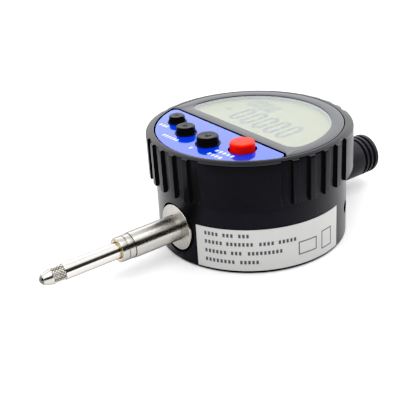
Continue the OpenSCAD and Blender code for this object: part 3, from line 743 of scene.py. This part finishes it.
def build_contact_point():
    front = SPINDLE_FRONT - CONE_LENGTH
    steps, rows = KNURL_CELLS * 20, 80
    thread_r, thread_end = 1.25, SPINDLE_FRONT + 5.5
    # Radius, place along the axis, and the share of the knurl's depth cut there
    profile = [(0, thread_end, 0), (thread_r, thread_end, 0), (thread_r, SPINDLE_FRONT, 0)]
    for i in range(rows + 1):
        run = KNURL_LENGTH * i / rows
        fade = min(run / 0.3, (KNURL_LENGTH - run) / 0.25, 1)
        profile.append((KNURL_R - 0.2 * (1 - fade), SPINDLE_FRONT - run, fade))
    base = KNURL_R - 0.1
    profile += [(base - 0.14, KNURL_END - 0.04, 0), (base - 0.1, KNURL_END - 0.2, 0),
                (SEAT_R + 0.06, front + 0.2, 0), (SEAT_R - 0.02, front + 0.04, 0),
                (SEAT_R - 0.14, front, 0), (1.2, front, 0), (0, front + 0.6, 0)]
    verts, faces = [], []
    for s in range(steps):
        a = 2 * math.pi * s / steps
        for base_r, y, share in profile:
            r = base_r - KNURL_DEPTH * share * knurl_depth(s / steps, SPINDLE_FRONT - y)
            verts.append((r * math.cos(a), y, AXIS_Z + r * math.sin(a)))
    count = len(profile)
    for s in range(steps):
        t = (s + 1) % steps
        for i in range(count - 1):
            faces.append((s * count + i, s * count + i + 1, t * count + i + 1, t * count + i))
    make_piece("contact_point_knurled", verts, faces, "spindle", knurled_metal(),
               ["contact_point"], sharp=25)


def build_cap():
    """A cup over the spindle's back end, with three grip grooves near its closed end."""
    r, e, inner, wall = CAP_R, CAP_END, 5.05, 1.5
    groove, half, taper = 0.45, 0.42, 0.1
    shape = [(inner, CAP_FRONT, 0.05), (r, CAP_FRONT, 0.15)]
    for y in (e - 6.45, e - 4.45, e - 2.45):
        shape += [(r, y - half, 0.14), (r - groove, y - half + taper, 0.1),
                  (r - groove, y + half - taper, 0.1), (r, y + half, 0.14)]
    shape += [(r, e, 1.1), (0, e, 0), (0, e - wall, 0), (inner, e - wall, 0)]
    verts, faces = lathe(rounded(shape, 5), along_y=True)
    make_piece("cap_moulded", verts, faces, "spindle_cap", MATS["cap_black"], ["spindle_cap"])


# ---- return spring ----

SPRING_R, SPRING_WIRE_R, SPRING_TURNS = 3.3, 0.25, 12
SPRING_FRONT, SPRING_BACK = box_mm("return_spring")[0].y, box_mm("return_spring")[1].y


def build_spring():
    """A coil round the spindle's axis, built at one fixed length; in the dial the spindle's clamp presses
    it together towards the back.
    """
    sides, rings_per_turn = 8, 24
    rings = SPRING_TURNS * rings_per_turn
    start, end = SPRING_FRONT + SPRING_WIRE_R, SPRING_BACK - SPRING_WIRE_R
    verts = []
    for i in range(rings + 1):
        a = 2 * math.pi * SPRING_TURNS * i / rings
        y = start + (end - start) * i / rings
        for k in range(sides):
            b = 2 * math.pi * k / sides
            r = SPRING_R + SPRING_WIRE_R * math.cos(b)
            verts.append((r * math.cos(a), y + SPRING_WIRE_R * math.sin(b), AXIS_Z + r * math.sin(a)))
    faces = [tuple(range(sides)), tuple(rings * sides + k for k in reversed(range(sides)))]
    for i in range(rings):
        for k in range(sides):
            m, n = i * sides + k, i * sides + (k + 1) % sides
            faces.append((m, m + sides, n + sides, n))
    spring = make_piece("coil_spring", verts, faces, "housing", MATS["spring_steel"],
                        ["return_spring"])
    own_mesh(spring)


# ---- studio ----

# Brightness overhead and in the dark room, what the backdrop adds, and how dark its foot is
OVERHEAD, ROOM, BACKDROP_EXTRA, FOOT_SHADE = 1.20, 0.10, 1.5, 1.5
# The tone curve's points: a soft toe that takes the deepest tones down, then a straight line
TOE = ((0.0, 0.002), (0.035, 0.003), (0.06, 0.008), (0.09, 0.037))


def build_stage():
    mesh = bpy.data.meshes.new("floor")
    # Metres, with the floor a hair under the object's flat back
    half, z = 4.0, -0.00002
    mesh.from_pydata([(-half, -half, z), (half, -half, z), (half, half, z), (-half, half, z)],
                     [], [(0, 1, 2, 3)])
    floor = bpy.data.objects.new("floor", mesh)
    bpy.context.scene.collection.objects.link(floor)
    floor.data.materials.append(surface("floor_white", (0.80, 0.80, 0.805), 0.7, vary=0.003, grain_mm=3,
                                        depth_mm=0.001, patch_mm=60, specular=0.2, glow=0.18))


def build_camera():
    """Makes the camera and gives the direction from what it looks at back to it."""
    azimuth, elevation, roll = math.radians(55.05), math.radians(26.07), math.radians(-3.86)
    target = Vector((-2.67, -18.52, 14.98)) * MM
    distance = 267.44 * MM
    back = Vector((math.sin(azimuth) * math.cos(elevation), -math.cos(azimuth) * math.cos(elevation),
                   math.sin(elevation)))
    right = (-back).cross(Vector((0, 0, 1))).normalized()
    up = right.cross(-back)
    image_right = right * math.cos(roll) + up * math.sin(roll)
    image_up = up * math.cos(roll) - right * math.sin(roll)
    data = bpy.data.cameras.new("camera")
    data.lens, data.sensor_width = 76.9, 36.0
    data.clip_start, data.clip_end = 0.01, 20
    camera = bpy.data.objects.new("camera", data)
    turn = Matrix((image_right, image_up, back)).transposed().to_4x4()
    camera.matrix_world = Matrix.Translation(target + back * distance) @ turn
    bpy.context.scene.collection.objects.link(camera)
    bpy.context.scene.camera = camera
    return back


def area_light(name, place, aim, size, power):
    data = bpy.data.lights.new(name, "AREA")
    data.shape, data.size, data.energy = "SQUARE", size, power
    light = bpy.data.objects.new(name, data)
    light.location = place
    light.rotation_euler = (Vector(aim) - Vector(place)).to_track_quat("-Z", "Y").to_euler()
    bpy.context.scene.collection.objects.link(light)


def build_world(camera_side):
    """A white studio: a dark room low on the camera's side and to its right, a bright backdrop behind."""
    world = bpy.data.worlds.new("studio")
    bpy.context.scene.world = world
    world.use_nodes = True
    tree = world.node_tree
    coord = tree.nodes.new("ShaderNodeTexCoord")
    split = tree.nodes.new("ShaderNodeSeparateXYZ")
    tree.links.new(coord.outputs["Generated"], split.inputs[0])
    height = split.outputs["Z"]

    def towards(vector):
        node = tree.nodes.new("ShaderNodeVectorMath")
        node.operation = "DOT_PRODUCT"
        node.inputs[1].default_value = vector
        tree.links.new(coord.outputs["Generated"], node.inputs[0])
        return node.outputs["Value"]

    def product(a, b):
        node = tree.nodes.new("ShaderNodeMath")
        node.operation = "MULTIPLY"
        tree.links.new(a, node.inputs[0])
        tree.links.new(b, node.inputs[1])
        return node.outputs[0]

    def add_times(value, factor, base):
        node = tree.nodes.new("ShaderNodeMath")
        node.operation = "MULTIPLY_ADD"
        tree.links.new(value, node.inputs[0])
        node.inputs[1].default_value = factor
        tree.links.new(base, node.inputs[2])
        return node.outputs[0]

    def region(way, at_start, at_end, edge, top):
        """A part of the surround: 1 inside it, and fading out sideways over edge and upwards over top."""
        sideways = spread(tree, towards(way), at_start, at_end, *edge)
        return product(sideways, spread(tree, height, 1, 0, *top))

    camera_way = Vector((camera_side.x, camera_side.y, 0)).normalized()
    right_way = Vector((-camera_way.y, camera_way.x, 0))
    room_way = (camera_way + right_way * 0.7).normalized()
    room = region(room_way, 0, 1, (-0.05, 0.25), (0.62, 0.74))
    # The backdrop's shaded foot, which draws a grey line along the top of each bright round part
    foot = region(camera_way, 1, 0, (-0.6, -0.3), (0.20, 0.31))
    backdrop = region(camera_way, 1, 0, (-0.9, 0.1), (0.45, 0.85))
    dark = add_times(foot, FOOT_SHADE, room)
    total = add_times(backdrop, BACKDROP_EXTRA, spread(tree, dark, OVERHEAD, ROOM, 0, 1))
    tree.links.new(total, tree.nodes["Background"].inputs["Strength"])
    tree.nodes["Background"].inputs["Color"].default_value = (1, 1, 1, 1)


def set_tone():
    """Plain display colours, with the deepest tones taken down to black."""
    view = bpy.context.scene.view_settings
    view.view_transform = "Standard"
    view.use_curve_mapping = True
    curve = view.curve_mapping.curves[3]
    curve.points[0].location = TOE[0]
    for place in TOE[1:]:
        curve.points.new(*place)
    for point in curve.points:
        point.handle_type = "VECTOR"
    view.curve_mapping.update()


dress_frame()
build_bezel()
build_face_plate()
build_window()
build_display_marks()
build_buttons()
build_boots()
build_legends()
build_label_marks()
build_stem()
build_contact_point()
build_cap()
build_spring()
build_stage()
build_world(build_camera())
# Place and aim in metres, then the side of the square in metres and the power in watts
area_light("key", (0.20, -0.12, 0.64), (0, 0, 0.02), 0.5, 2.3)
area_light("back_wash", (0.12, 0.62, 0.18), (0, 0, 0.02), 0.4, 2.0)
set_tone()
